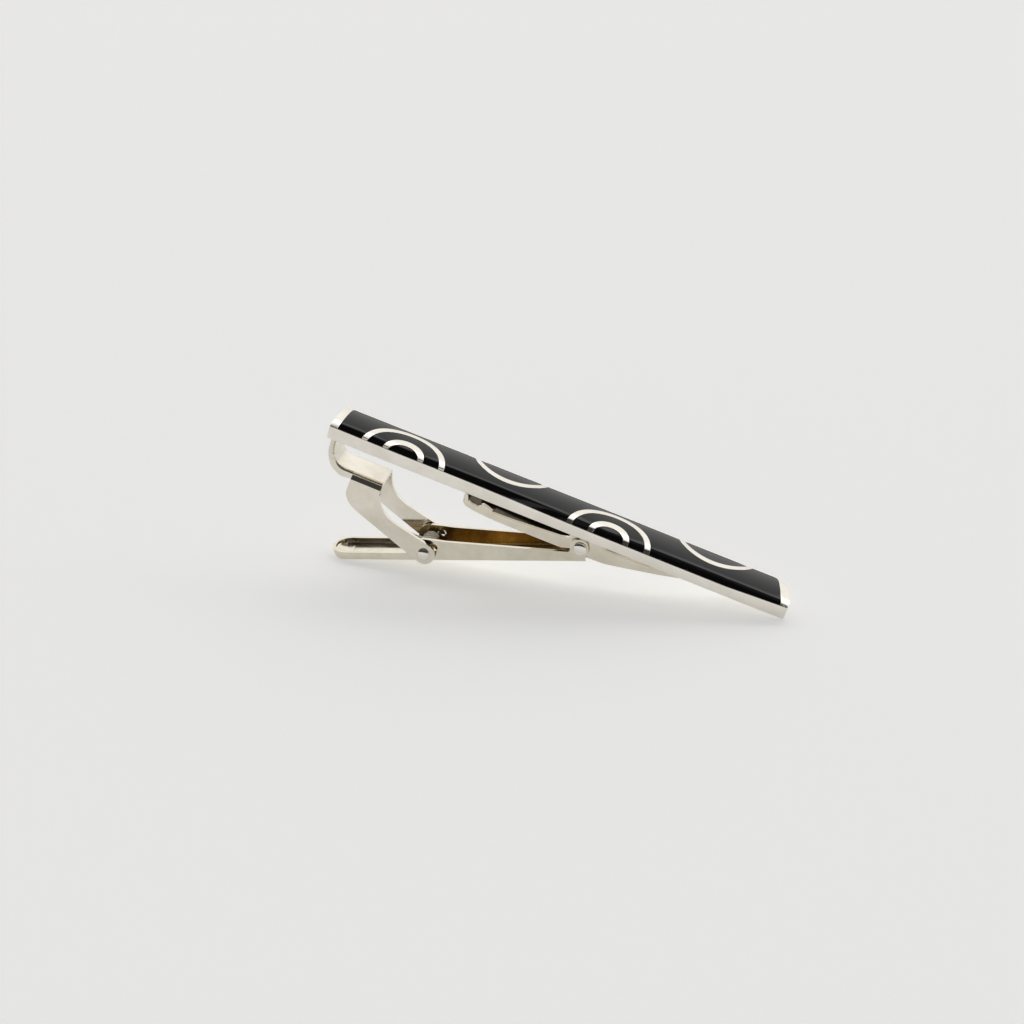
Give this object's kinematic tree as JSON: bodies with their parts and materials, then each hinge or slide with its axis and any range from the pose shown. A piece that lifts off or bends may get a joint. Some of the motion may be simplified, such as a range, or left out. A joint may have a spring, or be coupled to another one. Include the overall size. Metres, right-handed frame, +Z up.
{
  "type": "tie tack",
  "caption": "Clip-on tie tack bar: enamelled metal bar with a lever arm hinged on a bracket behind it and a sprung stamped jaw that grips the cloth",
  "frame": {"origin": "centre of the bounding box's base, on the table the clip lies on", "axes": "+X along the clip towards the low end of the bar, +Y across the bar to the side away from the pattern's whole fans, +Z up from the table; the bar slopes down to +X by 16.9 degrees"},
  "size_m": [0.0588, 0.0066, 0.0194],
  "materials": {
    "bar_nickel": "polished nickel plate on die-struck brass",
    "enamel_black": "glossy black hard enamel",
    "enamel_smoke": "smoky black enamel with a faint speckle",
    "bracket_nickel": "polished nickel-plated sheet",
    "solder": "grey soft solder",
    "rivet_nickel": "polished domed rivet",
    "arm_nickel": "nickel plate outside, brassier inside the channel",
    "spring_steel": "drawn spring wire",
    "jaw_nickel": "polished nickel-plated stamping"
  },
  "bodies": {
    "bar": {"bar": "bar_nickel", "enamel_field": "enamel_black", "enamel_fan_ring_1": "enamel_black", "enamel_fan_ring_2": "enamel_black", "enamel_fan_heart_1": "enamel_black", "enamel_fan_heart_2": "enamel_black", "enamel_far_cell_1": "enamel_smoke", "enamel_far_cell_2": "enamel_smoke", "bracket": "bracket_nickel", "bracket_solder": "solder", "main_rivet": "rivet_nickel"},
    "arm": {"arm": "arm_nickel", "jaw_rivet": "rivet_nickel", "jaw_spring": "spring_steel"},
    "jaw": {"jaw": "jaw_nickel"}
  },
  "joints": [
    {"name": "arm_hinge", "type": "hinge", "parent": "bar", "child": "arm", "pos_m": [0.00319, 0, 0.00585], "axis": [0, -1, 0], "range_deg": [0, 75]},
    {"name": "jaw_hinge", "type": "hinge", "parent": "arm", "child": "jaw", "pos_m": [-0.01671, 0, 0.00268], "axis": [0, -1, 0], "range_deg": [0, 45], "stiffness_Nm_per_rad": 0.008, "springref_deg": -34.38, "deforming": ["jaw_spring"]}
  ]
}
